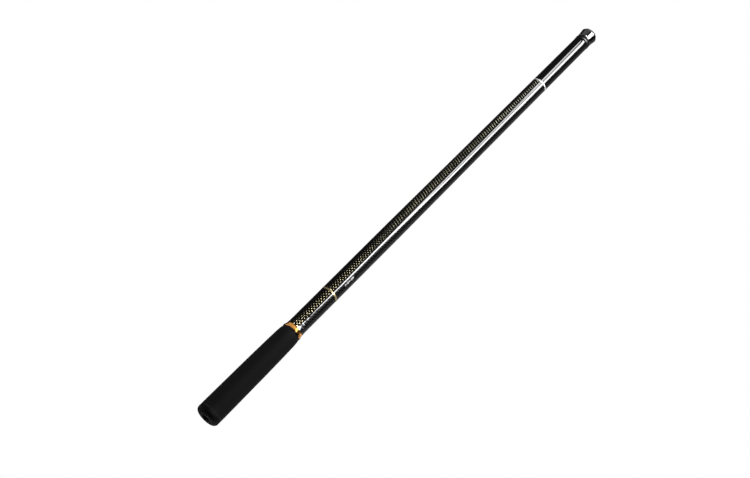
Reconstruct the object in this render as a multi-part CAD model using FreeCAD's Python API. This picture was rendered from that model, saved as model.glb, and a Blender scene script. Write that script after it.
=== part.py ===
import FreeCAD, Part
import math
import os

from FreeCAD import Vector

# Telescopic pole, closed: four nested tapered carbon tubes, a foam grip on the
# butt of the outermost one, a screw-in butt cap and a threaded metal head on
# the innermost one.
# Millimetres, +Z along the axis from butt to head, origin at the centre of the
# butt end face, which is the flat the pole stands on.

# ---------------------------------------------------------------- dimensions
# butt cap and its screw plug
CAP_R = 16.0            # outer radius of the rubber cap, same as the grip
CAP_H = 8.3             # cap height, up to the seam with the grip
CAP_EDGE = 5.0          # rounding of the bottom edge
RECESS_R = 5.6          # recess in the middle of the cap
BOSS_Z = 2.1            # level of the coin-slot face inside the recess
FLANGE_Z = 5.0          # underside of the plug flange
FLANGE_R = 13.4
SLOT_W = 1.7            # coin slot
SLOT_DEPTH = 1.5
NECK_R = 10.10          # thread M21 x 1.5 at its mean radius
NECK_TOP = 18.4
GROOVE_Z0, GROOVE_Z1 = 9.2, 10.9
GROOVE_R = 8.60
ORING_R = 9.36          # centre-line radius of the seal
ORING_W = 0.72          # radius of its section
POCKET_R = 8.90         # pocket for the damper pad on top of the plug
POCKET_Z = 16.4
DAMPER_TOP = 19.0

# threaded sleeve in the butt of the outer tube
SLEEVE_Z0, SLEEVE_Z1 = 8.4, 27.0
SLEEVE_BORE = 10.15
SLEEVE_FLANGE_R = 12.35
SLEEVE_FLANGE_T = 1.6

# outer tube: the bore is one straight taper; the outside is thick at the butt,
# nearly parallel up to the middle and tapers faster from there on
TUBE1_Z0, TUBE1_Z1 = 10.03, 759.0
TUBE1_OUT = [(0.0, 12.435), (160.0, 12.03), (350.0, 11.96), (505.0, 11.33), (759.0, 10.54)]
TUBE1_BORE_Z0 = 11.110          # bore radius at the butt end
TUBE1_BORE_Z1 = 9.372           # bore radius at the mouth

# foam grip
GRIP_Z0, GRIP_Z1 = 8.5, 151.1
GRIP_PROFILE = [                # z, outer radius
    (16.0, 16.0), (58.0, 15.65), (88.0, 15.40), (119.0, 14.95),
    (134.0, 14.60), (141.0, 14.40), (145.6, 14.14), (148.4, 13.84),
]
GRIP_NOSE_R = 13.25             # radius at the front end, behind the collar

# winding collar in front of the grip: a bell that runs down to the tube
COLLAR_Z0, COLLAR_Z1 = 151.6, 158.8
COLLAR_BACK_R = 13.62
COLLAR_WAIST_R = 12.42
# decorative bands round the outer tube
GOLD_BAND_Z, GOLD_BAND_W = 223.7, 2.2
SILVER_BAND_Z, SILVER_BAND_W = 658.0, 1.9
BAND_T = 0.14
# bead round the mouth of the outer tube
BEAD_Z0, BEAD_Z1 = 753.7, 760.2
BEAD_R = 10.90

# inner sections: profile of each as (height above its own butt, radius)
SECTION_Z0 = 19.5               # every butt rests just above the damper pad
S2_LEN, S3_LEN, S4_LEN = 736.0, 736.0, 741.2
LOCK_LEN = 85.0                 # length of the matched friction taper
S2_OUT = [(0.0, 9.547), (LOCK_LEN, 9.350), (S2_LEN, 8.500)]
S2_IN = [(0.0, 8.647), (LOCK_LEN, 8.450), (S2_LEN, 7.550)]
S3_OUT = [(0.0, 7.647), (LOCK_LEN, 7.530), (S3_LEN, 6.750)]
S3_IN = [(0.0, 6.797), (LOCK_LEN, 6.680), (S3_LEN, 5.900)]
S4_OUT = [(0.0, 5.982), (LOCK_LEN, 5.880), (S4_LEN, 5.300)]
S4_IN = [(0.0, 5.182), (LOCK_LEN, 5.080), (S4_LEN, 4.500)]
MOUTH_RING_L = 9.0              # binding ring at the mouth of sections 2 and 3
MOUTH_RING_T = 0.42
TRIM_BELOW_MOUTH = 30.0         # trim band of sections 2 and 3
TRIM_W = 1.6

# metal head on the innermost section
HEAD_Z0, HEAD_Z1 = 761.1, 776.4
HEAD_NECK_R = 10.62
HEAD_MAX_R = 11.68
HEAD_MAX_Z = 773.0
HEAD_FACE_R = 9.6
SPIGOT_R = 4.47
SPIGOT_Z0 = 731.0
M8_TAP_R = 3.40                 # M8 x 1.25 at its tapped radius
M8_DEPTH = 13.2
M8_CHAMFER = 0.9

# rubber seat under the head
SEAT_Z0, SEAT_LIP, SEAT_Z1 = 756.6, 760.26, 761.06
SEAT_LIP_R = 10.35
SEAT_NOSE_R = 9.28
SEAT_BORE = 5.34


# ------------------------------------------------------------------- helpers
def path(points):
    """Closed profile in the XZ plane from (r, z[, corner radius]) points."""
    n = len(points)
    corners = []
    for i in range(n):
        r, z = points[i][0], points[i][1]
        rad = points[i][2] if len(points[i]) > 2 else 0.0
        p = Vector(r, 0, z)
        if rad <= 0:
            corners.append((p, None, p))
            continue
        a = Vector(points[i - 1][0], 0, points[i - 1][1]).sub(p)
        b = Vector(points[(i + 1) % n][0], 0, points[(i + 1) % n][1]).sub(p)
        a.normalize()
        b.normalize()
        half = a.getAngle(b) / 2.0
        cut = rad / math.tan(half)
        way = a.add(b)
        way.normalize()
        centre = p.add(way.multiply(rad / math.sin(half)))
        start = p.add(Vector(a).multiply(cut))
        end = p.add(Vector(b).multiply(cut))
        towards = p.sub(centre)
        towards.normalize()
        middle = centre.add(towards.multiply(rad))
        corners.append((start, middle, end))
    edges = []
    for i in range(n):
        start, middle, end = corners[i]
        if middle is not None:
            edges.append(Part.Arc(start, middle, end).toShape())
        nxt = corners[(i + 1) % n][0]
        if end.distanceToPoint(nxt) > 1e-7:
            edges.append(Part.makeLine(end, nxt))
    return Part.Face(Part.Wire(edges))


def turned(points):
    """A solid of revolution about the Z axis."""
    solid = path(points).revolve(Vector(0, 0, 0), Vector(0, 0, 1), 360)
    return Part.makeSolid(solid) if solid.ShapeType == "Shell" else solid


def at(profile, z):
    """Radius of a piecewise straight profile at height z."""
    for (z0, r0), (z1, r1) in zip(profile, profile[1:]):
        if z <= z1:
            break
    return r0 + (r1 - r0) * (z - z0) / (z1 - z0)


def tube1_out(z):
    return at(TUBE1_OUT, z)


def tube1_in(z):
    part = (z - TUBE1_Z0) / (TUBE1_Z1 - TUBE1_Z0)
    return TUBE1_BORE_Z0 + (TUBE1_BORE_Z1 - TUBE1_BORE_Z0) * part


def section_tube(outer, inner, length):
    pts = [(r, SECTION_Z0 + z) for z, r in inner[:1]]
    pts[0] = (inner[0][1], SECTION_Z0, 0.15)
    pts.append((outer[0][1], SECTION_Z0, 0.25))
    pts.append((outer[1][1], SECTION_Z0 + outer[1][0]))
    pts.append((outer[2][1], SECTION_Z0 + outer[2][0], 0.25))
    pts.append((inner[2][1], SECTION_Z0 + inner[2][0], 0.15))
    pts.append((inner[1][1], SECTION_Z0 + inner[1][0]))
    return turned(pts)


def sleeve_on(outer, z0, z1, thickness, edge, gap=0.01):
    """A thin ring that follows a tapered tube; z0 and z1 from its butt."""
    b0, b1 = at(outer, z0) + gap, at(outer, z1) + gap
    return turned([
        (b0, SECTION_Z0 + z0),
        (b0 + thickness, SECTION_Z0 + z0, edge),
        (b1 + thickness, SECTION_Z0 + z1, edge),
        (b1, SECTION_Z0 + z1),
    ])


parts = {}

# ------------------------------------------------------------------ butt cap
parts["butt_cap_pad"] = turned([
    (RECESS_R, 0.0, 0.7),
    (CAP_R, 0.0, CAP_EDGE),
    (CAP_R, CAP_H, 0.6),
    (FLANGE_R + 0.02, CAP_H),
    (FLANGE_R + 0.02, FLANGE_Z - 0.02),
    (RECESS_R, FLANGE_Z - 0.02),
])

plug = turned([
    (0.0, BOSS_Z),
    (RECESS_R - 0.05, BOSS_Z, 0.4),
    (RECESS_R - 0.05, FLANGE_Z),
    (FLANGE_R, FLANGE_Z, 0.3),
    (FLANGE_R, CAP_H, 0.3),
    (NECK_R - 0.6, CAP_H),
    (NECK_R - 0.6, CAP_H + 0.5),
    (NECK_R, CAP_H + 0.7),
    (NECK_R, GROOVE_Z0, 0.0),
    (GROOVE_R, GROOVE_Z0),
    (GROOVE_R, GROOVE_Z1),
    (NECK_R, GROOVE_Z1),
    (NECK_R, NECK_TOP - 0.5),
    (NECK_R - 0.5, NECK_TOP),
    (POCKET_R, NECK_TOP),
    (POCKET_R, POCKET_Z),
    (0.0, POCKET_Z),
])
slot = Part.makeBox(
    2 * RECESS_R + 1, SLOT_W, SLOT_DEPTH + 1,
    Vector(-RECESS_R - 0.5, -SLOT_W / 2.0, BOSS_Z - 1.0),
)
parts["butt_plug"] = plug.cut(slot)

parts["plug_o_ring"] = Part.makeTorus(
    ORING_R, ORING_W, Vector(0, 0, (GROOVE_Z0 + GROOVE_Z1) / 2.0), Vector(0, 0, 1)
)

parts["damper_pad"] = turned([
    (0.0, POCKET_Z + 0.02),
    (POCKET_R - 0.03, POCKET_Z + 0.02),
    (POCKET_R - 0.03, DAMPER_TOP, 0.8),
    (0.0, DAMPER_TOP),
])

# ---------------------------------------------------------- handle and grip
flange_top = SLEEVE_Z0 + SLEEVE_FLANGE_T
parts["butt_insert"] = turned([
    (SLEEVE_BORE + 0.5, SLEEVE_Z0),
    (SLEEVE_FLANGE_R, SLEEVE_Z0, 0.2),
    (SLEEVE_FLANGE_R, flange_top),
    (tube1_in(TUBE1_Z0) - 0.03, flange_top),
    (tube1_in(SLEEVE_Z1) - 0.03, SLEEVE_Z1, 0.2),
    (SLEEVE_BORE + 0.35, SLEEVE_Z1),
    (SLEEVE_BORE, SLEEVE_Z1 - 0.6),
    (SLEEVE_BORE, SLEEVE_Z0 + 0.5),
])

parts["outer_tube"] = turned([
    (tube1_in(TUBE1_Z0), TUBE1_Z0),
    (tube1_out(TUBE1_Z0), TUBE1_Z0),
    (TUBE1_OUT[1][1], TUBE1_OUT[1][0]),
    (TUBE1_OUT[2][1], TUBE1_OUT[2][0]),
    (TUBE1_OUT[3][1], TUBE1_OUT[3][0]),
    (tube1_out(TUBE1_Z1), TUBE1_Z1, 0.2),
    (tube1_in(TUBE1_Z1), TUBE1_Z1, 0.2),
])

grip = [(tube1_out(GRIP_Z0) + 0.02, GRIP_Z0), (CAP_R, GRIP_Z0, 0.7)]
grip += [(r, z) for z, r in GRIP_PROFILE]
grip += [
    (GRIP_NOSE_R + 0.20, GRIP_Z1 - 0.75, 0.6),
    (GRIP_NOSE_R - 0.75, GRIP_Z1),
    (tube1_out(GRIP_Z1) + 0.02, GRIP_Z1),
]
parts["foam_grip"] = turned(grip)

# The collar's back edge butts on the foam; its front runs down to the tube.
parts["grip_collar"] = turned([
    (tube1_out(COLLAR_Z0) + 0.02, COLLAR_Z0),
    (COLLAR_BACK_R, COLLAR_Z0, 0.55),
    (COLLAR_BACK_R, COLLAR_Z0 + 2.3, 1.5),
    (COLLAR_WAIST_R, COLLAR_Z0 + 5.4, 2.4),
    (tube1_out(COLLAR_Z1) + 0.2, COLLAR_Z1, 0.08),
    (tube1_out(COLLAR_Z1) + 0.02, COLLAR_Z1),
])


def outer_band(z, width):
    z0, z1 = z - width / 2.0, z + width / 2.0
    return turned([
        (tube1_out(z0) + 0.01, z0),
        (tube1_out(z0) + BAND_T, z0, 0.1),
        (tube1_out(z1) + BAND_T, z1, 0.1),
        (tube1_out(z1) + 0.01, z1),
    ])


parts["gold_trim_band"] = outer_band(GOLD_BAND_Z, GOLD_BAND_W)
parts["silver_trim_band"] = outer_band(SILVER_BAND_Z, SILVER_BAND_W)

parts["mouth_ring"] = turned([
    (tube1_out(BEAD_Z0) + 0.02, BEAD_Z0),
    (tube1_out(BEAD_Z0) + 0.12, BEAD_Z0),
    (BEAD_R, BEAD_Z0 + 1.9, 1.2),
    (BEAD_R, BEAD_Z1 - 1.2, 0.9),
    (BEAD_R - 0.9, BEAD_Z1, 0.3),
    (TUBE1_BORE_Z1 + 0.08, BEAD_Z1, 0.3),
    (TUBE1_BORE_Z1 + 0.08, TUBE1_Z1 + 0.03),
    (tube1_out(TUBE1_Z1) + 0.02, TUBE1_Z1 + 0.03),
])

# ------------------------------------------------------------ inner sections
for name, outer, inner, length in (
    ("section_2", S2_OUT, S2_IN, S2_LEN),
    ("section_3", S3_OUT, S3_IN, S3_LEN),
):
    parts[name + "_tube"] = section_tube(outer, inner, length)
    z0 = length - MOUTH_RING_L
    lip = 0.9
    b0, b1 = at(outer, z0) + 0.01, at(outer, length) + 0.01
    parts[name + "_mouth_ring"] = turned([
        (b0, SECTION_Z0 + z0),
        (b0 + 0.06, SECTION_Z0 + z0),
        (b0 + MOUTH_RING_T, SECTION_Z0 + z0 + 1.5, 1.0),
        (b1 + MOUTH_RING_T, SECTION_Z0 + length + lip, 0.4),
        (at(inner, length) + 0.06, SECTION_Z0 + length + lip, 0.3),
        (at(inner, length) + 0.06, SECTION_Z0 + length + 0.02),
        (b1, SECTION_Z0 + length + 0.02),
    ])
    mid = length - TRIM_BELOW_MOUTH
    parts[name + "_trim_band"] = sleeve_on(
        outer, mid - TRIM_W / 2.0, mid + TRIM_W / 2.0, BAND_T, 0.06
    )

parts["section_4_tube"] = section_tube(S4_OUT, S4_IN, S4_LEN)
mid = S4_LEN - 36.0
parts["section_4_trim_band"] = sleeve_on(
    S4_OUT, mid - TRIM_W / 2.0, mid + TRIM_W / 2.0, BAND_T, 0.06
)

# ---------------------------------------------------------------- metal head
hole_floor = HEAD_Z1 - M8_DEPTH
parts["head_ferrule"] = turned([
    (0.0, SPIGOT_Z0),
    (SPIGOT_R, SPIGOT_Z0, 0.6),
    (SPIGOT_R, HEAD_Z0),
    (HEAD_NECK_R, HEAD_Z0, 0.35),
    (HEAD_NECK_R, HEAD_Z0 + 2.3, 1.2),
    (HEAD_MAX_R, HEAD_MAX_Z, 0.8),
    (HEAD_FACE_R, HEAD_Z1, 0.5),
    (M8_TAP_R + M8_CHAMFER, HEAD_Z1),
    (M8_TAP_R, HEAD_Z1 - M8_CHAMFER),
    (M8_TAP_R, hole_floor),
    (0.0, hole_floor - M8_TAP_R * math.tan(math.radians(31.0))),
])

parts["head_seat"] = turned([
    (SEAT_BORE, SEAT_Z0),
    (SEAT_NOSE_R, SEAT_Z0, 0.6),
    (SEAT_NOSE_R, SEAT_LIP),
    (SEAT_LIP_R, SEAT_LIP, 0.15),
    (SEAT_LIP_R, SEAT_Z1, 0.15),
    (SEAT_BORE, SEAT_Z1),
])

# -------------------------------------------------------------------- export
os.makedirs("parts", exist_ok=True)
for node, shape in parts.items():
    assert shape.isValid() and shape.Volume > 0, node
    assert len(shape.Solids) == 1, (node, len(shape.Solids))
    shape.exportStep(os.path.join("parts", node + ".step"))
    box = shape.BoundBox
    print("%-22s %9.1f mm3  r %6.3f  z %8.3f to %8.3f" % (
        node, shape.Volume, box.XMax, box.ZMin, box.ZMax))
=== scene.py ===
"""Butt end of a telescopic carbon pole, with the inner sections slid in.

The axis is Z. The rubber butt cap stands on z = 0, the mouth of the outer tube
is near z = 759 mm and the metal head tops out at z = 776.4 mm. Profiles are in
millimetres, materials, lights and camera in metres. Angles round the axis
start at -Y, the front, and grow towards +X, the right.
"""
import bpy, bmesh, math, random
from mathutils import Vector, Matrix


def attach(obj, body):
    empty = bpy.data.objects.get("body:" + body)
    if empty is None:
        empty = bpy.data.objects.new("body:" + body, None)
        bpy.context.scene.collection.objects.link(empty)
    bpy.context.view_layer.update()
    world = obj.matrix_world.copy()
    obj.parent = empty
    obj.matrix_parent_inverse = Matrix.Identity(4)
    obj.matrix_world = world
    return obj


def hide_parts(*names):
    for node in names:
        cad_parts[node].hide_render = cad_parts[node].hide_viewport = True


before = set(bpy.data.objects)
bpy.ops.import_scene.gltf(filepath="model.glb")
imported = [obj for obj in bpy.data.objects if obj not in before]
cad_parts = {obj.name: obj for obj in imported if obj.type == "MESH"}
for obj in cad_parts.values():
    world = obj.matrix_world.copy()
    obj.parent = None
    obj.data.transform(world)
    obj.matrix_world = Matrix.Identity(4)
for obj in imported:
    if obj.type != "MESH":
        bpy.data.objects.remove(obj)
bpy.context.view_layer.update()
scene = bpy.context.scene
data = bpy.data

MILLI = 0.001                     # metres in a millimetre
GRIP_RADIUS = 16.0                # foam grip and butt pad
MOUTH_Z = 759.0                   # top of the outer tube
GOLD_BAND_Z = 223.7
SILVER_BAND_Z = 658.0             # the outer tube's weave stops here
FACE_CENTRE = Vector((0, 0, 0.77))


# ------------------------------------------------------------- node helpers
class Graph:
    """A node tree with short calls for the maths it needs."""

    def __init__(self, owner):
        owner.use_nodes = True
        self.tree = owner.node_tree
        self.tree.nodes.clear()

    def node(self, kind, **settings):
        node = self.tree.nodes.new(kind)
        for key, value in settings.items():
            setattr(node, key, value)
        return node

    def put(self, socket, value):
        """Links a socket to it, or sets it as a value. RGB gets an alpha of 1."""
        if isinstance(value, bpy.types.NodeSocket):
            self.tree.links.new(value, socket)
        elif isinstance(value, tuple) and len(value) == 3:
            socket.default_value = (*value, 1.0)
        else:
            socket.default_value = value

    def math(self, operation, *values, clamp=False):
        node = self.node("ShaderNodeMath", operation=operation, use_clamp=clamp)
        for i, value in enumerate(values):
            self.put(node.inputs[i], value)
        return node.outputs[0]

    def add(self, first, second):
        return self.math("ADD", first, second)

    def sub(self, first, second):
        return self.math("SUBTRACT", first, second)

    def mul(self, first, second):
        return self.math("MULTIPLY", first, second)

    def split(self, vector):
        node = self.node("ShaderNodeSeparateXYZ")
        self.put(node.inputs[0], vector)
        return tuple(node.outputs)

    def azimuth(self, x, y):
        """Radians from -Y, growing towards +X."""
        return self.math("ARCTAN2", x, self.mul(y, -1.0))

    def mix_shaders(self, factor, first, second):
        node = self.node("ShaderNodeMixShader")
        for i, value in enumerate((factor, first, second)):
            self.put(node.inputs[i], value)
        return node.outputs[0]


class Mat(Graph):
    """A material round one principled shader."""

    SOCKETS = {
        "color": "Base Color", "rough": "Roughness", "metal": "Metallic",
        "spec": "Specular IOR Level", "aniso": "Anisotropic",
        "turn": "Anisotropic Rotation", "tangent": "Tangent", "coat": "Coat Weight",
        "coat_rough": "Coat Roughness", "coat_ior": "Coat IOR",
        "coat_normal": "Coat Normal", "normal": "Normal",
        "sheen": "Sheen Weight", "sheen_rough": "Sheen Roughness",
        "glow": "Emission Color", "glow_strength": "Emission Strength",
    }

    def __init__(self, name):
        self.material = data.materials.new(name)
        super().__init__(self.material)
        self.surface = self.node("ShaderNodeOutputMaterial").inputs["Surface"]
        self.shader = self.node("ShaderNodeBsdfPrincipled")
        self.put(self.surface, self.shader.outputs[0])
        self.object_place = self.axes = None

    def set(self, **values):
        for key, value in values.items():
            self.put(self.shader.inputs[self.SOCKETS[key]], value)

    def affine(self, value, gain, offset):
        return self.math("MULTIPLY_ADD", value, gain, offset)

    def invert(self, value):
        return self.sub(1.0, value)

    def length(self, x, y):
        return self.math("SQRT", self.add(self.mul(x, x), self.mul(y, y)))

    def step(self, value, span):
        """0 below the span, 1 above it, smooth between."""
        node = self.node("ShaderNodeMapRange", interpolation_type="SMOOTHSTEP")
        self.put(node.inputs["Value"], value)
        node.inputs["From Min"].default_value, node.inputs["From Max"].default_value = span
        return node.outputs[0]

    def between(self, value, rise, fall):
        """Up over the rise and down again over the fall."""
        return self.mul(self.step(value, rise), self.invert(self.step(value, fall)))

    def ramp(self, value, span, to):
        """Straight run between two values over a span, held at its ends."""
        node = self.node("ShaderNodeMapRange")
        self.put(node.inputs["Value"], value)
        for key, limit in zip(("From Min", "From Max", "To Min", "To Max"), (*span, *to)):
            node.inputs[key].default_value = limit
        return node.outputs[0]

    def mix(self, factor, first, second, blend="MIX"):
        node = self.node("ShaderNodeMix", data_type="RGBA", blend_type=blend)
        self.put(node.inputs["Factor"], factor)
        for key, value in (("A", first), ("B", second)):
            self.put([s for s in node.inputs if s.name == key and s.type == "RGBA"][0], value)
        return [s for s in node.outputs if s.type == "RGBA"][0]

    def cosine(self, turns):
        """0.5 + 0.5 cos of a number of turns."""
        wave = self.math("COSINE", self.mul(turns, 2 * math.pi))
        return self.affine(wave, gain=0.5, offset=0.5)

    def position(self):
        """Object coordinates, which are the frame's own metres."""
        if self.object_place is None:
            self.object_place = self.node("ShaderNodeTexCoord").outputs["Object"]
        return self.object_place

    def xyz(self):
        if self.axes is None:
            self.axes = self.split(self.position())
        return self.axes

    def z_mm(self):
        return self.mul(self.xyz()[2], 1000.0)

    def turns(self):
        x, y, _ = self.xyz()
        return self.mul(self.azimuth(x, y), 1 / (2 * math.pi))

    def noise(self, scale, detail=3.0, rough=0.55, stretch=None):
        vector = self.position()
        if stretch is not None:
            mapping = self.node("ShaderNodeMapping")
            mapping.inputs["Scale"].default_value = stretch
            self.put(mapping.inputs["Vector"], vector)
            vector = mapping.outputs[0]
        node = self.node("ShaderNodeTexNoise")
        self.put(node.inputs["Vector"], vector)
        node.inputs["Scale"].default_value = scale
        node.inputs["Detail"].default_value = detail
        node.inputs["Roughness"].default_value = rough
        return node.outputs["Fac"]

    def cells(self, scale):
        node = self.node("ShaderNodeTexVoronoi", feature="F1")
        self.put(node.inputs["Vector"], self.position())
        node.inputs["Scale"].default_value = scale
        return node.outputs["Distance"]

    def bump(self, height, distance, strength):
        node = self.node("ShaderNodeBump")
        self.put(node.inputs["Height"], height)
        node.inputs["Distance"].default_value = distance
        node.inputs["Strength"].default_value = strength
        return node.outputs[0]

    def radial_tangent(self):
        return self.node("ShaderNodeTangent", direction_type="RADIAL", axis="Z").outputs[0]


# ----------------------------------------------------------- woven materials
COAT_IOR = 1.6
TOW_ROUGH, TOW_ANISO = 0.40, 1.0
TOW_TURN = 0.139                  # turn of the highlight, each family its own way
TOW_PHASE = 0.125                 # offset of the tows round the tube, in tows
HIGH_TOWS = 8.0                   # gold tows round the upper part of the outer tube
DASHES_FROM = 0.36                # height above which tones follow the upper tows
FOIL_AMOUNT = 1.0
TUBE_BLACK = (0.004, 0.004, 0.0045)
BLACK_TOW = (0.012, 0.012, 0.013)
PLAIN_BLACK = (0.0045, 0.0045, 0.0052)
GOLD_FOIL = (1.0, 0.88, 0.53), (0.60, 0.585, 0.43)      # low down, higher up
GREY_FOIL = ((0.10, 0.10, 0.105),) * 2

MARK_AZIMUTH = 30.5               # degrees, on the front right
MARK_INK = (0.62, 0.62, 0.61)
MARK_FEATHER = 0.15
MARKS = [                         # z from and to in mm, half width in degrees
    (243.2, 246.2, None),         # pointer, with the widths below
    (246.9, 249.5, 6.0), (249.9, 252.6, 4.2), (254.4, 259.6, 6.0), (252.6, 254.4, 1.4)]
POINTER_WIDTHS = (7.0, 1.0)       # at its foot and its tip


def scaled(colour, factor):
    return tuple(channel * factor for channel in colour)


def foil_visibility_and_painted_shade(mat):
    """1 where a surface is seen from its growing-angle side, 0 from the other, fading at
    grazing angles. This fade is painted shade: it stands in for the foil's glow falling off
    away from the lights."""
    x, y, z = mat.xyz()
    geometry = mat.node("ShaderNodeNewGeometry")
    view_x, view_y, _ = mat.split(geometry.outputs["Incoming"])
    across = mat.math("DIVIDE", mat.sub(mat.mul(view_y, x), mat.mul(view_x, y)),
                      mat.length(x, y))
    changeover = mat.ramp(z, span=(0.20, 0.65), to=(-0.03, 0.31))
    seen = mat.step(mat.sub(across, changeover), span=(-0.06, 0.06))
    # the painted shade starts sooner at both ends of the tube than in its middle
    painted_shade_sooner = mat.add(mat.ramp(z, span=(0.25, 0.40), to=(0.22, 0.0)),
                     mat.ramp(z, span=(0.48, 0.61), to=(0.0, 0.21)))
    return mat.mul(seen, mat.ramp(mat.add(across, painted_shade_sooner), span=(0.45, 0.85), to=(1.0, 0.12)))


def foil_colour(mat, foil, up, outer):
    low, high = foil
    if not outer:
        return mat.mix(up, low, high)
    # the tone drops above the collar, and again in the middle
    z = mat.xyz()[2]
    low = mat.mix(mat.step(z, span=(0.185, 0.235)), scaled(low, 0.86), scaled(low, 0.60))
    colour = mat.mix(up, low, high)
    colour = mat.mix(mat.step(z, span=(0.57, 0.62)), colour, scaled(high, 0.70))
    middle = mat.between(z, rise=(0.26, 0.33), fall=(0.51, 0.59))
    return mat.mix(middle, colour, (high[0] * 0.48, high[1] * 0.47, high[2] * 0.43))


def printed_marks(mat, z_mm):
    """Mask of the printed marks: a pointer, three bars and a narrow stem."""
    degrees = mat.mul(mat.turns(), 360.0)
    off_centre = mat.math("ABSOLUTE", mat.sub(degrees, MARK_AZIMUTH))
    ink = None
    for low, high, width in MARKS:
        along = mat.between(z_mm, rise=(low, low + MARK_FEATHER),
                            fall=(high, high + MARK_FEATHER))
        if width is None:
            width = mat.ramp(z_mm, span=(low, high), to=POINTER_WIDTHS)
        bar = mat.mul(along, mat.math("LESS_THAN", off_centre, width))
        ink = bar if ink is None else mat.math("MAXIMUM", ink, bar)
    grain = mat.step(mat.noise(scale=2600.0, detail=2.0), span=(0.26, 0.36))
    return mat.mul(ink, grain)


def weave_material(name, tows, pitch, foil, fade, outer=False):
    """Hybrid weave under gloss lacquer: coloured tows run one way round the
    tube and black carbon tows the other way, so each family lights up on its
    own side. tows: how many of each family go round. pitch: mm along.
    fade: heights between which the foil goes from its low to its high look."""
    mat = Mat(name)
    z = mat.xyz()[2]
    around = mat.affine(mat.turns(), gain=float(tows), offset=TOW_PHASE)
    # the pitch tightens a little towards the mouth
    rise = mat.affine(z, gain=1000.0, offset=-190.0)
    along = mat.mul(rise, mat.affine(rise, gain=0.00018 / pitch, offset=1.0 / pitch))
    along = mat.add(along, 0.593)
    # a slow wander keeps the winding from looking printed
    wander = mat.affine(mat.noise(scale=30.0, detail=2.0), gain=0.12, offset=-0.06)
    gold_turns = mat.add(mat.add(around, along), wander)
    black_turns = mat.sub(mat.sub(around, along), wander)
    gold_wave = mat.cosine(gold_turns)
    black_wave = mat.cosine(black_turns)
    # on the outer tube the gold tows lie flatter higher up
    high_turns = gold_turns
    if outer:
        high_around = mat.affine(mat.turns(), gain=HIGH_TOWS, offset=TOW_PHASE)
        high_turns = mat.add(mat.add(high_around, along), wander)
    high_wave = mat.cosine(high_turns)
    up = mat.ramp(z, span=fade, to=(0.0, 1.0))

    # near the butt the black tows cut the gold ones into dots, higher up the
    # gold ones run through as slanted dashes
    dots = mat.step(mat.mul(gold_wave, black_wave), span=(0.46, 0.74))
    nick_depth = mat.ramp(z, span=(0.36, 0.48), to=(-0.6, -0.22))
    nick = mat.affine(mat.invert(black_wave), gain=nick_depth, offset=1.0)
    dashes = mat.mul(mat.step(high_wave, span=(0.58, 0.88)), nick)
    patchy = mat.mul(mat.sub(mat.noise(scale=45.0, detail=1.0), 0.5), 0.5)
    dashed = mat.step(mat.add(up, patchy), span=(0.15, 0.75))
    gold_mask = mat.affine(dashed, gain=mat.sub(dashes, dots), offset=dots)
    # the black tows stand proud and hide the gold ones from one side; the foil is also
    # painted darker on that side and towards grazing, painted shade for the light falling off
    gold_mask = mat.mul(gold_mask, foil_visibility_and_painted_shade(mat))
    black_mask = mat.mul(mat.step(black_wave, span=(0.42, 0.72)), mat.invert(gold_mask))

    # each tow has its own tone
    tone = mat.node("ShaderNodeTexWhiteNoise", noise_dimensions="2D")
    tow_cell = mat.node("ShaderNodeCombineXYZ")
    is_high = mat.math("GREATER_THAN", z, DASHES_FROM)
    mat.put(tow_cell.inputs[0],
            mat.add(mat.mul(mat.math("ROUND", gold_turns), mat.invert(is_high)),
                    mat.mul(mat.math("ROUND", high_turns), is_high)))
    cell_rate = mat.ramp(z, span=(0.36, 0.48), to=(1.0, 0.25))
    mat.put(tow_cell.inputs[1], mat.math("ROUND", mat.mul(black_turns, cell_rate)))
    mat.put(tone.inputs["Vector"], tow_cell.outputs[0])
    vary = mat.affine(tone.outputs["Value"], gain=0.55, offset=0.6)
    gold = mat.mix(1.0, foil_colour(mat, foil, up, outer), vary, blend="MULTIPLY")
    stripes = mat.mul(black_mask, mat.ramp(z, span=(0.22, 0.34), to=(0.25, 1.0)))
    base = mat.mix(stripes, TUBE_BLACK, BLACK_TOW)
    colour = mat.mix(mat.mul(gold_mask, FOIL_AMOUNT), base, gold)
    metal = mat.math("MAXIMUM", gold_mask, black_mask)

    woven, spec = 1.0, 0.25
    # lacquer: nearly flat, with a faint orange peel and fine handling marks
    coat_height = mat.mul(mat.noise(scale=160.0, detail=2.0, stretch=(1, 1, 0.35)), 0.2)
    if outer:
        # plain black above the silver band
        z_mm = mat.z_mm()
        plain = mat.step(z_mm, span=(SILVER_BAND_Z - 0.1, SILVER_BAND_Z + 0.1))
        woven = mat.invert(plain)
        colour = mat.mix(plain, colour, PLAIN_BLACK)
        metal = mat.mul(metal, woven)
        spec = mat.mul(woven, spec)
        ink = printed_marks(mat, z_mm)
        colour = mat.mix(ink, colour, MARK_INK)
        metal = mat.mul(metal, mat.invert(ink))
        # the lacquer is thicker and wavier next to the collar
        runs = mat.noise(scale=115.0, detail=1.5, stretch=(1, 1, 0.8))
        near_collar = mat.invert(mat.step(z_mm, span=(168.0, 232.0)))
        coat_height = mat.add(coat_height, mat.mul(mat.mul(runs, near_collar), 3.6))
    scuff_noise = mat.noise(scale=70.0, detail=5.0, rough=0.75, stretch=(1, 1, 0.2))
    scuff = mat.step(scuff_noise, span=(0.62, 0.80))
    relief = mat.add(mat.mul(gold_wave, 0.5), mat.mul(black_wave, 0.5))
    fibre = mat.noise(scale=900.0, detail=2.0)
    mat.set(color=colour, metal=metal, spec=spec, aniso=TOW_ANISO,
            rough=mat.affine(fibre, gain=0.10, offset=TOW_ROUGH - 0.05),
            turn=mat.affine(gold_mask, gain=TOW_TURN * 2, offset=-TOW_TURN),
            tangent=mat.radial_tangent(), coat=1.0, coat_ior=COAT_IOR,
            coat_rough=mat.affine(scuff, gain=0.05, offset=0.016),
            coat_normal=mat.bump(coat_height, distance=0.00015, strength=1.0),
            normal=mat.bump(mat.mul(relief, woven), distance=0.00006, strength=0.6))
    return mat.material


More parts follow.
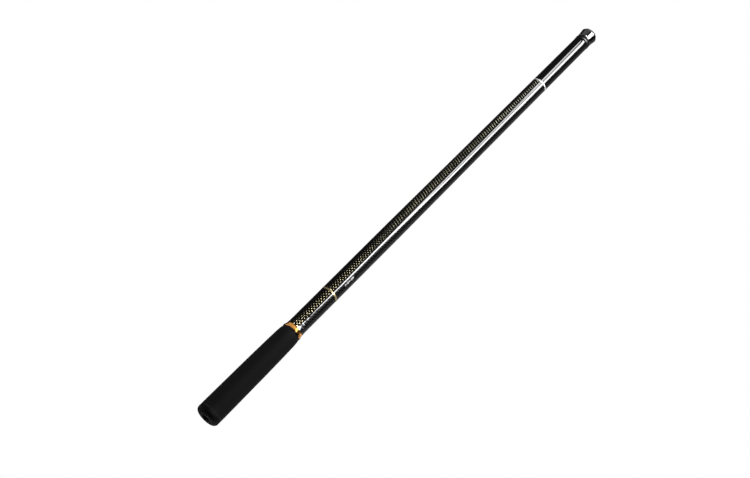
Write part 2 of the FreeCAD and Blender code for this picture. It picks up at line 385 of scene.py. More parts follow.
# ----------------------------------------------------------- other materials
def near_grey(base, shade, blue):
    return base * shade, base * shade, base * blue


def foam_material(name, base, cell):
    """Fine closed-cell foam: pores with painted shade in them, a soft sheen, smoother rubbed
    patches and a painted highlight along the cut edge.
    """
    mat = Mat(name)
    pore_pit_and_shade = mat.step(mat.cells(cell), span=(0.12, 0.42))
    mottle = mat.noise(scale=60.0, detail=4.0, rough=0.6)
    fine = mat.noise(scale=2400.0, detail=3.0, rough=0.7)
    worn = mat.step(mat.noise(scale=16.0, detail=3.0, rough=0.6), span=(0.46, 0.72))
    light = mat.add(mat.mul(mat.sub(mottle, 0.5), 0.35), mat.mul(mat.sub(fine, 0.5), 0.5))
    light = mat.add(light, mat.mul(worn, 0.18))
    light = mat.math("MAXIMUM", mat.affine(light, gain=1.0, offset=1.0), 0.2)
    # the pores are painted darker: painted shade in the pits
    light = mat.mul(light, mat.affine(pore_pit_and_shade, gain=0.45, offset=0.62))
    colour = mat.mix(1.0, near_grey(base, 1.0, blue=1.03), light, blend="MULTIPLY")
    # the cut edge next to the butt cap is painted paler: a painted highlight along the seam
    edge = mat.between(mat.z_mm(), rise=(8.3, 8.5), fall=(9.1, 9.6))
    colour = mat.mix(mat.mul(edge, 0.85), colour, near_grey(base, 12.0, blue=12.1))
    height = mat.add(mat.mul(pore_pit_and_shade, 0.8), mat.mul(fine, 0.5))
    mat.set(color=colour, rough=mat.affine(worn, gain=-0.10, offset=0.78), spec=0.13,
            sheen=0.012, sheen_rough=0.6,
            normal=mat.bump(height, distance=0.00008, strength=0.55))
    return mat.material


def rubber_material(name, base, bluish, rough, spec, glint_at=None):
    """Moulded rubber: fine spark texture, cloudy tone and pale scuffs.
    The optional last argument is the x and y of a painted glint on its underside; it also
    brings a painted highlight along the upper edge."""
    mat = Mat(name)
    grain = mat.noise(scale=1400.0, detail=4.0, rough=0.7)
    cloud = mat.noise(scale=90.0, detail=4.0, rough=0.6)
    scuff_noise = mat.noise(scale=420.0, detail=6.0, rough=0.8, stretch=(1, 1, 3.0))
    scuff = mat.step(scuff_noise, span=(0.60, 0.78))
    colour = mat.mix(mat.mul(cloud, 0.8), near_grey(base, 0.8, blue=0.9 * bluish),
                     near_grey(base, 1.5, blue=1.6 * bluish))
    colour = mat.mix(mat.mul(scuff, 0.35), colour, near_grey(base, 3.2, blue=3.3))
    if glint_at:
        # a painted glint: a small pale spot on the underside
        x, y, z = mat.xyz()
        off = mat.length(mat.mul(mat.sub(x, glint_at[0]), 1000.0),
                         mat.mul(mat.sub(y, glint_at[1]), 1000.0))
        painted_glint = mat.mul(mat.invert(mat.step(off, span=(0.35, 1.0))),
                       mat.math("LESS_THAN", z, 0.003))
        colour = mat.mix(painted_glint, colour, (0.11, 0.11, 0.115))
        # its upper edge is painted a little paler too: a painted highlight
        rim_highlight = mat.step(mat.z_mm(), span=(7.6, 7.9))
        colour = mat.mix(rim_highlight, colour, near_grey(base, 10.0, blue=10.1))
    height = mat.add(grain, mat.mul(cloud, 0.6))
    mat.set(color=colour, spec=spec,
            rough=mat.add(mat.affine(grain, gain=0.22, offset=rough - 0.1),
                          mat.mul(scuff, 0.08)),
            normal=mat.bump(height, distance=0.00005, strength=0.45))
    return mat.material


def metal_material(name, colour, rough, wear=(0.9, 0.9, 0.9), wear_amount=0.25,
                   aniso=0.5, coat=0.0, metal=1.0, bead=None):
    """Turned metal: fine lathe lines round the axis and rubbed spots in the wear colour.
    bead: height below which it is painted near-black and not metallic, painted shade for the
    shadowed gap at its foot."""
    mat = Mat(name)
    lines = mat.noise(scale=60.0, detail=5.0, rough=0.75, stretch=(1.5, 1.5, 260.0))
    blotch = mat.noise(scale=120.0, detail=4.0, rough=0.65)
    rub = mat.step(mat.noise(scale=260.0, detail=6.0, rough=0.8), span=(0.58, 0.80))
    tint = mat.mix(mat.step(lines, span=(0.3, 0.7)), scaled(colour, 0.86), colour)
    tint = mat.mix(mat.mul(rub, wear_amount), tint, wear)
    # below the given height the metal is painted near-black: painted shade in the gap at the
    # foot
    if bead:
        low = mat.math("LESS_THAN", mat.xyz()[2], bead)
        tint = mat.mix(low, tint, (0.004, 0.004, 0.006))
        metal = mat.affine(low, gain=-metal, offset=metal)
    mat.set(color=tint, metal=metal, aniso=aniso, tangent=mat.radial_tangent(), coat=coat,
            rough=mat.add(mat.affine(blotch, gain=0.10, offset=rough - 0.05),
                          mat.mul(rub, 0.05)),
            normal=mat.bump(lines, distance=0.000012, strength=0.5))
    return mat.material


def lacquered_thread_material():
    """Black gloss lacquer over whipping thread: faint thread ridges below."""
    mat = Mat("gloss_black_lacquer")
    thread_pitch = 0.00028
    ridges = mat.cosine(mat.mul(mat.xyz()[2], 1.0 / thread_pitch))
    specks = mat.step(mat.noise(scale=1200.0, detail=3.0, rough=0.8), span=(0.62, 0.75))
    colour = mat.mix(mat.mul(ridges, 0.6), (0.004, 0.004, 0.0044), (0.008, 0.008, 0.0088))
    colour = mat.mix(mat.mul(specks, 0.3), colour, (0.03, 0.03, 0.032))
    peel = mat.noise(scale=420.0, detail=2.0)
    mat.set(color=colour, rough=mat.affine(specks, gain=0.2, offset=0.35), spec=0.4,
            coat=1.0, coat_ior=COAT_IOR,
            coat_rough=mat.affine(specks, gain=0.06, offset=0.03),
            coat_normal=mat.bump(peel, distance=0.00004, strength=0.4),
            normal=mat.bump(ridges, distance=0.00003, strength=0.5))
    return mat.material


def mouth_material():
    """Rubber-bound bead round the mouth: matte, polished along its crest."""
    mat = Mat("bound_mouth_bead")
    grain = mat.noise(scale=1500.0, detail=3.0, rough=0.7)
    crest = mat.between(mat.z_mm(), rise=(755.2, 755.9), fall=(757.6, 758.2))
    matte = mat.affine(grain, gain=0.1, offset=0.72)
    mat.set(color=mat.mix(grain, (0.0035, 0.0035, 0.0038), (0.007, 0.007, 0.0075)),
            spec=mat.affine(crest, gain=0.6, offset=0.06),
            rough=mat.affine(crest, gain=-0.42, offset=matte),
            normal=mat.bump(grain, distance=0.00004, strength=0.4))
    return mat.material


INNER_TOWS = {2: 13, 3: 10, 4: 8}       # by section number
mat_outer = weave_material("lacquered_gold_weave", tows=15, pitch=4.545, foil=GOLD_FOIL,
                           fade=(0.26, 0.46), outer=True)
mat_inner = {
    number: weave_material("lacquered_carbon_weave_%d" % number, tows=tows, pitch=4.0,
                           foil=GREY_FOIL, fade=(0.0, 2.0))
    for number, tows in INNER_TOWS.items()}
mat_foam = foam_material("closed_cell_foam", base=0.0029, cell=1500.0)
mat_damper = foam_material("damper_foam", base=0.03, cell=900.0)
# the butt pad gets a painted glint on its underside and a painted highlight along its upper
# edge
mat_rubber = rubber_material("moulded_rubber", base=0.0021, bluish=1.2, rough=0.62,
                             spec=0.12, glint_at=(0.0062, 0.0006))
mat_seal = rubber_material("seal_rubber", base=0.008, bluish=1.0, rough=0.35, spec=0.3)
# the collar's foot, below z 152.62 mm, is painted near-black as painted shade for the gap
# behind it
mat_collar = metal_material("anodised_orange_gold", (0.97, 0.44, 0.10), rough=0.14,
                            wear=(1.0, 0.70, 0.33), wear_amount=0.15, aniso=0.2,
                            bead=0.15262)
mat_gold_band = metal_material("pale_gold_foil", (0.90, 0.74, 0.38), rough=0.27,
                               wear=(1.0, 0.9, 0.6), coat=0.5, metal=0.8)
mat_silver_band = metal_material("silver_foil", (0.85, 0.85, 0.83), rough=0.45,
                                 coat=0.5, metal=0.35)
mat_plug = metal_material("turned_aluminium", (0.62, 0.62, 0.63), rough=0.28)
mat_sleeve = metal_material("sleeve_aluminium", (0.5, 0.5, 0.51), rough=0.35)
mat_head = metal_material("polished_dark_chrome", (0.16, 0.16, 0.165), rough=0.07,
                          aniso=0.25, wear=(0.3, 0.3, 0.32), wear_amount=0.2)
mat_thread = lacquered_thread_material()
mat_mouth = mouth_material()

# the butt insert keeps its own mesh
insert_slots = data.objects["butt_insert"].data.materials
insert_slots.clear()
insert_slots.append(mat_sleeve)


# ------------------------------------------------------------- mesh helpers
def rounded(points, arc_step=12.0):
    """Turns closed (r, z) corners, some with a fillet radius as a third value,
    into a smooth profile. arc_step: degrees."""
    outline = []
    for i, point in enumerate(points):
        corner = Vector(point[:2])
        if len(point) < 3:
            outline.append(tuple(corner))
            continue
        back = Vector(points[i - 1][:2]) - corner
        ahead = Vector(points[(i + 1) % len(points)][:2]) - corner
        half = back.angle(ahead) / 2
        cut = min(point[2] / math.tan(half), back.length * 0.98, ahead.length * 0.98)
        radius = cut * math.tan(half)
        back.normalize()
        ahead.normalize()
        centre = corner + (back + ahead).normalized() * (radius / math.sin(half))
        start, end = (corner + back * cut) - centre, (corner + ahead * cut) - centre
        sweep = math.pi - 2 * half
        steps = max(2, int(math.degrees(sweep) / arc_step) + 1)
        turn = 1 if start.x * end.y - start.y * end.x > 0 else -1
        for k in range(steps + 1):
            angle = turn * sweep * k / steps
            cos, sin = math.cos(angle), math.sin(angle)
            outline.append((centre.x + start.x * cos - start.y * sin,
                            centre.y + start.x * sin + start.y * cos))
    return outline


def even(profile, longest, closed=True):
    """Splits the long runs of a profile."""
    out = []
    for p, q in zip(profile, profile[1:] + (profile[:1] if closed else [])):
        count = max(1, int(math.ceil(math.dist(p, q) / longest)))
        out += [(p[0] + (q[0] - p[0]) * k / count, p[1] + (q[1] - p[1]) * k / count)
                for k in range(count)]
    return out if closed else out + [profile[-1]]


def lathe(name, profile, segments, material, body, node, shift=None, sharp=38.0):
    """Turns a closed profile of (r, z) mm about the Z axis. A point at r 0
    becomes a pole. shift(angle, r, z) moves a point outwards, in mm. Edges
    bent by more than sharp degrees stay hard."""
    shape = bmesh.new()
    rows = []
    for r, z in profile:
        if r < 1e-6:
            rows.append([shape.verts.new((0, 0, z * MILLI))])
            continue
        row = []
        for k in range(segments):
            angle = 2 * math.pi * k / segments
            out = r + (shift(angle, r, z) if shift else 0.0)
            row.append(shape.verts.new((out * MILLI * math.sin(angle),
                                        -out * MILLI * math.cos(angle), z * MILLI)))
        rows.append(row)
    for i, this in enumerate(rows):
        other = rows[(i + 1) % len(rows)]
        if len(this) == 1 and len(other) == 1:
            continue
        for k in range(segments):
            j = (k + 1) % segments
            if len(this) == 1:
                shape.faces.new((this[0], other[j], other[k]))
            elif len(other) == 1:
                shape.faces.new((this[k], this[j], other[0]))
            else:
                shape.faces.new((this[k], this[j], other[j], other[k]))
    bmesh.ops.recalc_face_normals(shape, faces=shape.faces)
    limit = math.radians(sharp)
    for face in shape.faces:
        face.smooth = True
    for edge in shape.edges:
        edge.smooth = not (len(edge.link_faces) == 2 and edge.calc_face_angle(0.0) > limit)
    mesh = data.meshes.new(name)
    shape.to_mesh(mesh)
    shape.free()
    mesh.materials.append(material)
    obj = data.objects.new(name, mesh)
    scene.collection.objects.link(obj)
    if node:
        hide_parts(node)
    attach(obj, body)
    return obj


def radius_at(stations, z):
    """Radius at a height from (z, r) stations. Outside them the line through
    the first and last one carries on."""
    low, high = stations[0], stations[-1]
    for pair in zip(stations, stations[1:]):
        if pair[0][0] <= z <= pair[1][0]:
            low, high = pair
    return low[1] + (high[1] - low[1]) * (z - low[0]) / (high[0] - low[0])


def band(name, radius, centre, half_width, edge, material, body, segments):
    """A thin ring whose inside follows a tapered tube."""
    gap, thick = 0.01, 0.14
    low, high = centre - half_width, centre + half_width
    profile = rounded([
        (radius(low) + gap, low), (radius(low) + thick, low, edge),
        (radius(high) + thick, high, edge), (radius(high) + gap, high)], 20.0)
    lathe(name + "_turned", even(profile, 0.5), segments, material, body, name)


def ripple(seed):
    """Smooth repeating noise of an angle and a height, from a few waves."""
    draw = random.Random(seed)
    waves = [(draw.randint(1, 9), draw.uniform(0.05, 0.9), draw.uniform(0, 6.28),
              draw.uniform(0.4, 1.0)) for _ in range(9)]
    return lambda angle, z: sum(
        size * math.sin(around * angle + along * z + phase)
        for around, along, phase, size in waves) / 9


def thread(depth, pitch, low, high):
    """A 60 degree thread's height at an angle and z, easing out at its ends."""
    def height(angle, z):
        if not low <= z <= high:
            return 0.0
        phase = (z / pitch - angle / (2 * math.pi)) % 1.0
        flank = 1.0 - abs(2 * phase - 1.0) * 2.0
        flank = max(-0.75, min(0.75, flank)) / 0.75
        ease = min(1.0, (z - low) / (0.6 * pitch), (high - z) / (0.6 * pitch))
        return flank * depth / 2 * max(0.0, ease)
    return height


def rows_between(start, end, r, step):
    """Points up or down a cylinder, without its two ends."""
    count = int(round(abs(end - start) / step))
    return [(r, start + (end - start) * k / count) for k in range(1, count)]


# --------------------------------------------------------------- outer tube
# z, outside radius
OUTER_RADII = [(0.0, 12.435), (160.0, 12.03), (350.0, 11.96), (505.0, 11.33),
               (MOUTH_Z, 10.54)]


def tube_radius(z):
    return radius_at(OUTER_RADII, z)


# All profiles below are r, z and, on a rounded corner, its fillet radius.
TUBE_FOOT_Z = 10.03
TUBE = rounded([
    (11.11, TUBE_FOOT_Z), (tube_radius(TUBE_FOOT_Z), TUBE_FOOT_Z), (12.03, 160.0),
    (11.96, 350.0), (11.33, 505.0), (tube_radius(MOUTH_Z), MOUTH_Z, 0.2),
    (9.372, MOUTH_Z, 0.2)], 20.0)
lathe("outer_tube_laid_up", even(TUBE, 12.0), 256, mat_outer, "handle", "outer_tube")
band("gold_trim_band", tube_radius, GOLD_BAND_Z, half_width=1.1, edge=0.1,
     material=mat_gold_band, body="handle", segments=192)
band("silver_trim_band", tube_radius, SILVER_BAND_Z, half_width=0.95, edge=0.1,
     material=mat_silver_band, body="handle", segments=192)

COLLAR_FOOT_Z, COLLAR_TOP_Z = 151.6, 158.3
COLLAR = rounded([
    (tube_radius(COLLAR_FOOT_Z) + 0.02, COLLAR_FOOT_Z), (12.7, COLLAR_FOOT_Z, 0.1),
    (12.7, 152.5, 0.1), (13.62, 152.5, 0.5), (13.62, 154.1, 1.2), (12.62, 157.0, 2.0),
    (tube_radius(COLLAR_TOP_Z) + 0.42, COLLAR_TOP_Z, 0.08),
    (tube_radius(COLLAR_TOP_Z) + 0.3, COLLAR_TOP_Z + 0.05)], 5.0)
lathe("grip_collar_turned", even(COLLAR, 0.5), 256, mat_collar, "handle", "grip_collar")

# the lacquer is built up a little above the collar, over the same weave
LACQUER_BUILD = [                 # z, height over the tube
    (158.2, 0.005), (158.2, 0.42), (159.0, 0.335), (160.0, 0.25), (161.0, 0.185),
    (162.0, 0.135), (163.0, 0.097), (164.0, 0.067), (165.0, 0.045), (166.0, 0.030),
    (167.0, 0.018), (168.0, 0.008), (168.1, 0.002)]
lathe("collar_lacquer_fillet", [(tube_radius(z) + height, z) for z, height in LACQUER_BUILD],
      256, mat_outer, "handle", None)

BEAD_FOOT_Z, BEAD_TOP_Z, BEAD_SEAT_Z = 753.7, 760.2, MOUTH_Z + 0.03
MOUTH_BEAD = rounded([
    (tube_radius(BEAD_FOOT_Z) + 0.02, BEAD_FOOT_Z),
    (tube_radius(BEAD_FOOT_Z) + 0.12, BEAD_FOOT_Z), (10.90, 755.6, 1.2),
    (10.90, MOUTH_Z, 0.9), (10.0, BEAD_TOP_Z, 0.3), (9.452, BEAD_TOP_Z, 0.3),
    (9.452, BEAD_SEAT_Z), (tube_radius(BEAD_SEAT_Z) + 0.02, BEAD_SEAT_Z)], 8.0)
lathe("mouth_ring_turned", even(MOUTH_BEAD, 0.4), 256, mat_mouth, "handle", "mouth_ring")

# ----------------------------------------------------------- inner sections
SECTION_FOOT_Z = 19.5
SECTION_RADII = {                 # z above the foot, outside radius, inside radius
    2: [(0.0, 9.547, 8.647), (85.0, 9.350, 8.450), (736.0, 8.500, 7.550)],
    3: [(0.0, 7.647, 6.797), (85.0, 7.530, 6.680), (736.0, 6.750, 5.900)],
    4: [(0.0, 5.982, 5.182), (85.0, 5.880, 5.080), (741.2, 5.300, 4.500)]}
BAND_BELOW_TOP = {2: 30.0, 3: 30.0, 4: 36.0}


def inner_section(number, stations):
    body = "section_%d" % number
    foot, length = SECTION_FOOT_Z, stations[-1][0]
    outside = [(z, out) for z, out, _ in stations]
    inside = [(z, bore) for z, _, bore in stations]
    knee = foot + stations[1][0]
    tube = rounded([
        (inside[0][1], foot, 0.15), (outside[0][1], foot, 0.25), (outside[1][1], knee),
        (outside[2][1], foot + length, 0.25), (inside[2][1], foot + length, 0.15),
        (inside[1][1], knee)], 20.0)
    lathe(body + "_tube_laid_up", even(tube, 14.0), 160, mat_inner[number], body,
          body + "_tube")
    band(body + "_trim_band", lambda z: radius_at(outside, z - foot),
         foot + (length - BAND_BELOW_TOP[number]), half_width=0.8, edge=0.06,
         material=mat_gold_band, body=body, segments=160)
    if number == 4:
        return      # the head closes this one
    low_r = radius_at(outside, length - 9.0) + 0.01
    top_r = radius_at(outside, length) + 0.01
    bore = radius_at(inside, length) + 0.06
    low, top = foot + length - 9.0, foot + length
    ring = rounded([
        (low_r, low), (low_r + 0.06, low), (low_r + 0.42, top - 7.5, 1.0),
        (top_r + 0.42, top + 0.9, 0.4), (bore, top + 0.9, 0.3), (bore, top + 0.02),
        (top_r, top + 0.02)], 10.0)
    lathe(body + "_mouth_ring_turned", even(ring, 0.6), 160, mat_thread, body,
          body + "_mouth_ring")


for number, stations in SECTION_RADII.items():
    inner_section(number, stations)

# ---------------------------------------------------------------- foam grip
# hand-ground foam, so its outside is very slightly uneven
FOAM_FOOT_Z, FOAM_TOP_Z = 8.5, 151.1
foam_ripple = ripple(seed=3)
FOAM = rounded([
    (tube_radius(FOAM_FOOT_Z) + 0.02, FOAM_FOOT_Z), (GRIP_RADIUS, FOAM_FOOT_Z, 0.7),
    (GRIP_RADIUS, 16.0), (15.65, 58.0), (15.40, 88.0), (14.95, 119.0), (14.60, 134.0),
    (14.40, 141.0), (14.14, 145.6), (13.84, 148.4), (13.45, 150.35, 0.6),
    (12.5, FOAM_TOP_Z), (tube_radius(FOAM_TOP_Z) + 0.02, FOAM_TOP_Z)])
lathe("foam_grip_skin", even(FOAM, 1.6), 160, mat_foam, "handle", "foam_grip",
      lambda angle, r, z: 0.06 * foam_ripple(angle, z) if r > 13.3 else 0.0)

# ----------------------------------------------------------------- butt pad
# moulded rubber cup with two shallow ring grooves in its underside
PAD_TOP_Z = 8.3
pad_ripple = ripple(seed=8)
PAD = rounded([
    (5.6, 0.0, 0.7), (8.2, 0.0), (8.45, 0.28, 0.1), (8.95, 0.28, 0.1), (9.2, 0.0),
    (10.2, 0.0), (10.4, 0.24, 0.1), (10.8, 0.24, 0.1), (11.0, 0.0),
    (GRIP_RADIUS, 0.0, 5.0), (GRIP_RADIUS, PAD_TOP_Z, 0.35), (13.42, PAD_TOP_Z, 0.2),
    (13.42, 4.98), (5.6, 4.98)], 8.0)
lathe("butt_cap_pad_skin", even(PAD, 0.9), 160, mat_rubber, "butt_cap", "butt_cap_pad",
      lambda angle, r, z: 0.03 * pad_ripple(angle, z * 4) if r > 13.6 else 0.0)

# --------------------------------------------------------------- damper pad
# a disc of softer foam with a sloped upper edge
DAMPER_FOOT_Z, DAMPER_TOP_Z = 16.42, 19.0
damper_ripple = ripple(seed=5)
DAMPER = rounded([
    (0.0, DAMPER_FOOT_Z), (8.87, DAMPER_FOOT_Z, 0.3), (8.87, 18.6, 0.8),
    (7.2, DAMPER_TOP_Z, 0.4), (0.0, DAMPER_TOP_Z)], 10.0)
# only the top centre stays on the axis, and the underside closes onto it
DAMPER = [p for p in even(DAMPER, 0.7) if p[0] > 1e-6 or p[1] == DAMPER_TOP_Z]
lathe("damper_pad_skin", DAMPER, 96, mat_damper, "butt_cap", "damper_pad",
      lambda angle, r, z: 0.05 * damper_ripple(angle, z * 5) if 6.0 < r < 8.6 else 0.0)

# ---------------------------------------------------------------- seal ring
# round section with a moulding flash line inside and outside
RING_POINTS, RING_R, RING_Z, RING_SECTION, FLASH = 28, 9.36, 10.05, 0.70, 0.035
RING = []
for k in range(RING_POINTS):
    angle = 2 * math.pi * k / RING_POINTS
    flash = FLASH if k in (0, RING_POINTS // 2) else 0.0
    RING.append((RING_R + (RING_SECTION + flash) * math.cos(angle),
                 RING_Z + RING_SECTION * math.sin(angle)))
lathe("plug_o_ring_skin", RING, 128, mat_seal, "plug_seal", "plug_o_ring",
      sharp=60.0)

# ---------------------------------------------------------------- head seat
# rubber sleeve with three ribs, the top one running up to its flange
SEAT_R, RIB_R, FLANGE_R, SEAT_BORE = 9.02, 9.28, 10.35, 5.34
SEAT = rounded([
    (SEAT_BORE, 756.6), (9.0, 756.6, 0.5), (SEAT_R, 757.2), (RIB_R, 757.45, 0.1),
    (RIB_R, 757.75, 0.1), (SEAT_R, 758.0), (SEAT_R, 758.3), (RIB_R, 758.5, 0.1),
    (RIB_R, 758.8, 0.1), (SEAT_R, 759.05), (SEAT_R, 759.35), (RIB_R, 759.55, 0.1),
    (RIB_R, 760.26), (FLANGE_R, 760.26, 0.15), (FLANGE_R, 761.06, 0.15),
    (SEAT_BORE, 761.06)])
lathe("head_seat_skin", even(SEAT, 1.2), 128, mat_seal, "section_4", "head_seat")

# ---------------------------------------------------------------- butt plug
# its real M21 x 1.5 thread, and a coin slot cut in the boss
PLUG_R = 10.10                    # mean radius of the thread
BOSS_R, BOSS_Z, BOSS_FOOT_Z = 5.55, 2.1, 5.0
plug_thread = thread(depth=0.80, pitch=1.5, low=11.1, high=17.7)
# the last corner only sets the slope into the first fillet, then it is dropped
PLUG_OUTSIDE = rounded([
    (BOSS_R, BOSS_Z, 0.4), (BOSS_R, BOSS_FOOT_Z), (13.4, BOSS_FOOT_Z, 0.3),
    (13.4, 8.3, 0.3), (9.5, 8.3), (9.5, 8.8), (PLUG_R, 9.0), (PLUG_R, 9.2), (8.6, 9.2),
    (8.6, 10.9), (PLUG_R, 10.9), (PLUG_R, 11.1), (0.0, 0.0)])[:-1]
PLUG = (
    [(0.0, BOSS_Z)] + PLUG_OUTSIDE + rows_between(11.1, 17.9, PLUG_R, 0.14)
    + [(PLUG_R, 17.9), (9.6, 18.4), (8.9, 18.4), (8.9, 16.4), (0.0, 16.4)])
plug = lathe("butt_plug_turned", PLUG, 128, mat_plug, "butt_cap", "butt_plug",
             lambda angle, r, z: plug_thread(angle, z) if abs(r - PLUG_R) < 0.01 else 0.0)


def cut_slot(obj, half_width, depth):
    """Sinks a straight slot along X into the end face of the boss."""
    shape = bmesh.new()
    shape.from_mesh(obj.data)
    for y in (-half_width, half_width):
        boss = [face for face in shape.faces
                if all(v.co.z < (BOSS_FOOT_Z + 0.01) * MILLI for v in face.verts)
                and max(v.co.xy.length for v in face.verts) < (BOSS_R + 0.01) * MILLI]
        geometry = set(boss)
        for face in boss:
            geometry.update(face.edges)
            geometry.update(face.verts)
        bmesh.ops.bisect_plane(shape, geom=list(geometry), plane_co=(0, y, 0),
                               plane_no=(0, 1, 0), dist=1e-7)
    slot = [face for face in shape.faces
            if all(abs(v.co.z - BOSS_Z * MILLI) < 1e-6 for v in face.verts)
            and all(abs(v.co.y) < half_width + 1e-6 for v in face.verts)
            and max(v.co.xy.length for v in face.verts) < 5.2 * MILLI]
    sunk = bmesh.ops.extrude_face_region(shape, geom=slot)["geom"]
    bmesh.ops.translate(shape, vec=(0, 0, depth),
                        verts=[v for v in sunk if isinstance(v, bmesh.types.BMVert)])
    bmesh.ops.delete(shape, geom=[face for face in slot if face.is_valid], context="FACES")
    for edge in shape.edges:
        if len(edge.link_faces) == 2 and edge.calc_face_angle(0.0) > math.radians(38):
            edge.smooth = False
    shape.to_mesh(obj.data)
    shape.free()


cut_slot(plug, half_width=0.85 * MILLI, depth=1.5 * MILLI)

# --------------------------------------------------------------- metal head
# its bore has the real M8 thread
BORE_R = 3.70
HEAD_FOOT_Z, HEAD_TOP_Z, BORE_FOOT_Z = 731.0, 776.4, 763.2
bore_thread = thread(depth=0.60, pitch=1.25, low=763.3, high=775.4)
# the last corner only sets the slope into the first fillet, then it is dropped
HEAD_OUTSIDE = rounded([
    (4.47, HEAD_FOOT_Z, 0.6), (4.47, 761.1), (10.62, 761.1, 0.35), (10.62, 763.4, 1.2),
    (11.68, 773.0, 0.8), (9.6, HEAD_TOP_Z, 0.5), (4.35, HEAD_TOP_Z), (0.0, 700.0)],
    8.0)[:-1]
# the run from the pole to the first fillet is split too
HEAD = (
    [(0.0, HEAD_FOOT_Z)] + even(HEAD_OUTSIDE, 0.8, closed=False)
    + [(3.75, 775.8)] + rows_between(775.5, BORE_FOOT_Z, BORE_R, 0.125)
    + [(BORE_R, BORE_FOOT_Z), (0.0, 761.16)])
lathe("head_ferrule_turned", HEAD, 192, mat_head, "section_4", "head_ferrule",
      lambda angle, r, z: bore_thread(angle, z) if abs(r - BORE_R) < 0.01 else 0.0)


# -------------------------------------------------------------------- floor
def make_floor():
    """Plain pale floor. Only the camera sees it, and only from above, so the
    pole can also be looked at from below the floor's level."""
    mesh = data.meshes.new("floor")
    shape = bmesh.new()
    bmesh.ops.create_circle(shape, cap_ends=True, radius=14.0, segments=96)
    shape.to_mesh(mesh)
    shape.free()
    floor = data.objects.new("floor", mesh)
    scene.collection.objects.link(floor)
    floor.location = (0, 0, -0.0012)
    mat = Mat("pale_floor")
    x, y, _ = mat.xyz()
    away = mat.step(mat.length(x, y), span=(0.7, 5.5))
    grain = mat.noise(scale=180.0, detail=3.0)
    # a little of its own light keeps the far side from going dark
    mat.set(color=(0.42, 0.42, 0.415), rough=0.9, spec=0.1, glow=(1.0, 1.0, 0.99),
            glow_strength=0.33, normal=mat.bump(grain, distance=0.0002, strength=0.2))
    clear = mat.node("ShaderNodeBsdfTransparent")
    backfacing = mat.node("ShaderNodeNewGeometry").outputs["Backfacing"]
    hide = mat.math("MAXIMUM", away, backfacing)
    mat.put(mat.surface, mat.mix_shaders(hide, mat.shader.outputs[0], clear.outputs[0]))
    mesh.materials.append(mat.material)
    for ray in ("diffuse", "glossy", "transmission", "volume_scatter", "shadow"):
        setattr(floor, "visible_" + ray, False)


make_floor()

# ------------------------------------------------------------------- lights
STRIP_AZIMUTH = math.radians(20.0)
STRIP_DISTANCE = 1.5
OUT = Vector((math.sin(STRIP_AZIMUTH), -math.cos(STRIP_AZIMUTH), 0.0))  # pole to strips
RIGHT = Vector((math.cos(STRIP_AZIMUTH), math.sin(STRIP_AZIMUTH), 0.0))
UP = Vector((0, 0, 1))

# Slanted soft panels in front of the pole. Metres on the panels' plane, where
# rise runs up and to the right and fall runs down and to the right.
STRIPS = [                        # name, rise from and to, fall from and to, radiance
    ("strip_near_low", 0.60, 0.90, -0.88, -0.41, 20.0),
    ("strip_near", 0.58, 0.82, -2.00, -0.88, 12.0),
    ("strip_near_top", 0.42, 0.63, -3.00, -2.00, 12.5),
    ("strip_far", 0.98, 1.53, -2.40, -0.75, 18.5),
    ("strip_far_low", 0.93, 1.40, -0.75, -0.49, 21.0)]

# Soft cards that light one piece each. The turned collar has a pale one on
# the left, a bright narrow one in front and a dim one on the far right, with
# dark between them.
CARDS = [   # name, azimuth, elevation, distance, width, height, radiance, aim z, piece, shape
    ("head_card", -62, 18, 1.2, 1.6, 1.0, 0.36, 0.77, "head_ferrule_turned", "RECTANGLE"),
    ("collar_left", -50, 36, 0.8, 2.1, 1.6, 0.55, 0.155, "grip_collar_turned", "RECTANGLE"),
    ("collar_key", 27, 36, 0.8, 0.28, 1.4, 3.2, 0.155, "grip_collar_turned", "RECTANGLE"),
    ("collar_right", 130, 36, 0.8, 0.55, 1.4, 0.55, 0.155, "grip_collar_turned", "RECTANGLE"),
    ("fillet_key", 29, 33, 0.8, 0.62, 0.26, 20.0, 0.16, "collar_lacquer_fillet", "ELLIPSE")]


def area_light(name, width, height, radiance, place, turn, shape="RECTANGLE"):
    light = data.lights.new(name, "AREA")
    light.shape = shape
    light.size, light.size_y = width, height
    light.energy = radiance * width * height * math.pi
    obj = data.objects.new(name, light)
    obj.matrix_world = Matrix.Translation(place) @ turn.to_4x4()
    obj.visible_camera = False
    scene.collection.objects.link(obj)
    return obj


def link_to_piece(light, prefix, piece, state):
    """Makes a light reach only this piece, or everything but it."""
    receivers = data.collections.new(prefix + light.name)
    receivers.objects.link(data.objects[piece])
    for entry in receivers.collection_objects:
        entry.light_linking.link_state = state
    light.light_linking.receiver_collection = receivers


for name, rise_from, rise_to, fall_from, fall_to, radiance in STRIPS:
    rise, fall = (rise_from + rise_to) / 2, (fall_from + fall_to) / 2
    slant = math.sqrt(0.5)
    place = (OUT * STRIP_DISTANCE + RIGHT * ((rise + fall) * slant)
             + UP * ((rise - fall) * slant))
    turn = Matrix(((RIGHT - UP) * slant, (RIGHT + UP) * slant, OUT)).transposed()
    strip = area_light(name, fall_to - fall_from, rise_to - rise_from, radiance, place, turn)
    link_to_piece(strip, "not_the_collar_", "grip_collar_turned", "EXCLUDE")

for (name, azimuth, elevation, distance, width, height, radiance, aim_z, piece,
     shape) in CARDS:
    around, above = math.radians(azimuth), math.radians(elevation)
    back = Vector((math.sin(around) * math.cos(above),
                   -math.cos(around) * math.cos(above), math.sin(above)))
    card = area_light(name, width, height, radiance, Vector((0, 0, aim_z)) + back * distance,
                      back.to_track_quat("Z", "Y").to_matrix(), shape)
    link_to_piece(card, "lit_by_", piece, "INCLUDE")

# -------------------------------------------------------------------- world
AMBIENT = 0.035
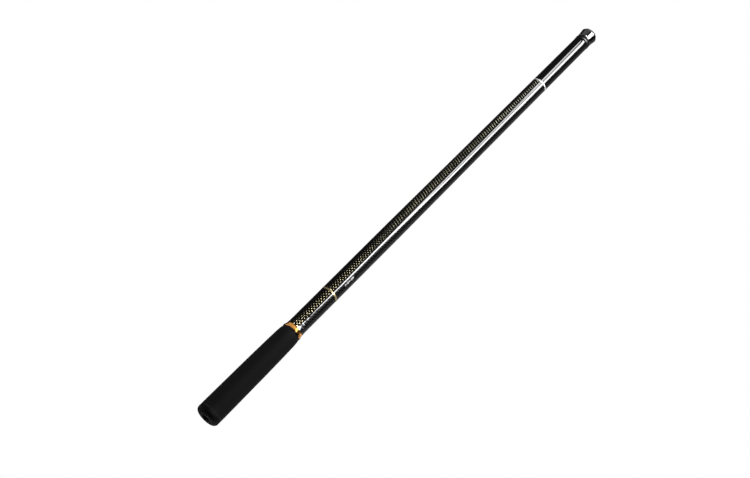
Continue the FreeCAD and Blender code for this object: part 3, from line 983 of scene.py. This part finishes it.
# azimuth from, to and softness, elevation from, to and softness, strength
PATCHES = [
    # two strips that only show when the pole is looked at from above
    (104, 120, 2, -62, 4, 3, 4.0),
    (-120, -104, 2, -62, 2, 3, 4.0),
    # the pale room to the right and behind, seen at grazing angles
    (90, 165, 7, 8, 62, 6, 0.22),
    # ceiling, brighter on the left
    (-170, 15, 12, 60, 100, 6, 1.2),
    (15, 170, 12, 66, 100, 6, 0.5),
    # a little light from low down, for the end face of the butt
    (-200, 200, 5, -100, -42, 8, 0.05),
    (135, 200, 8, -34, -6, 6, 1.2)]


def make_world():
    """The camera sees plain white, everything else the patches."""
    scene.world = data.worlds.new("studio")
    sky = Graph(scene.world)

    def soft_range(value, low, high, soft):
        """1 between low and high with soft edges."""
        rise = sky.math("DIVIDE", sky.sub(value, low - soft), 2 * soft, clamp=True)
        fall = sky.math("DIVIDE", sky.sub(high + soft, value), 2 * soft, clamp=True)
        return sky.mul(rise, fall)

    x, y, z = sky.split(sky.node("ShaderNodeTexCoord").outputs["Generated"])
    azimuth = sky.mul(sky.azimuth(x, y), 180 / math.pi)
    elevation = sky.mul(sky.math("ARCSINE", z), 180 / math.pi)
    total = AMBIENT
    for *limits, strength in PATCHES:
        patch = sky.mul(soft_range(azimuth, *limits[:3]), soft_range(elevation, *limits[3:]))
        total = sky.add(sky.mul(patch, strength), total)
    studio = sky.node("ShaderNodeBackground")
    sky.put(studio.inputs["Strength"], total)
    white = sky.node("ShaderNodeBackground")
    sky.put(white.inputs["Strength"], 1.0)
    sky.put(white.inputs["Color"], (1.0, 1.0, 1.0))
    camera_ray = sky.node("ShaderNodeLightPath").outputs["Is Camera Ray"]
    surface = sky.node("ShaderNodeOutputWorld").inputs["Surface"]
    sky.put(surface, sky.mix_shaders(camera_ray, studio.outputs[0], white.outputs[0]))


make_world()

# ------------------------------------------------------------------- camera
# below and in front of the pole, rolled so that the pole runs from the lower
# left to the upper right of the view
CAMERA_PLACE = (0.0, -1.866, -0.544)
YAW, ROLL = 0.0043, math.pi / 4 + 0.0010
LEVEL, CLIMB = 0.9071, 0.4210     # forward and upward parts of the view direction
lens = data.cameras.new("camera")
lens.lens = 77.76
lens.sensor_width = 36.0
lens.clip_start, lens.clip_end = 0.05, 60.0
camera = data.objects.new("camera", lens)
view = Vector((-math.sin(YAW), math.cos(YAW) * LEVEL, math.cos(YAW) * CLIMB)).normalized()
side = Vector((math.cos(YAW), math.sin(YAW) * LEVEL, math.sin(YAW) * CLIMB)).normalized()
tall = side.cross(view).normalized()
camera_x = (side * math.cos(ROLL) + tall * math.sin(ROLL)).normalized()
camera_y = (-view).cross(camera_x)
camera.matrix_world = (Matrix.Translation(CAMERA_PLACE)
                       @ Matrix((camera_x, camera_y, -view)).transposed().to_4x4())
scene.collection.objects.link(camera)
scene.camera = camera
scene.view_settings.view_transform = "Standard"
scene.view_settings.look = "None"
scene.view_settings.exposure = 0.0
scene.view_settings.gamma = 1.0
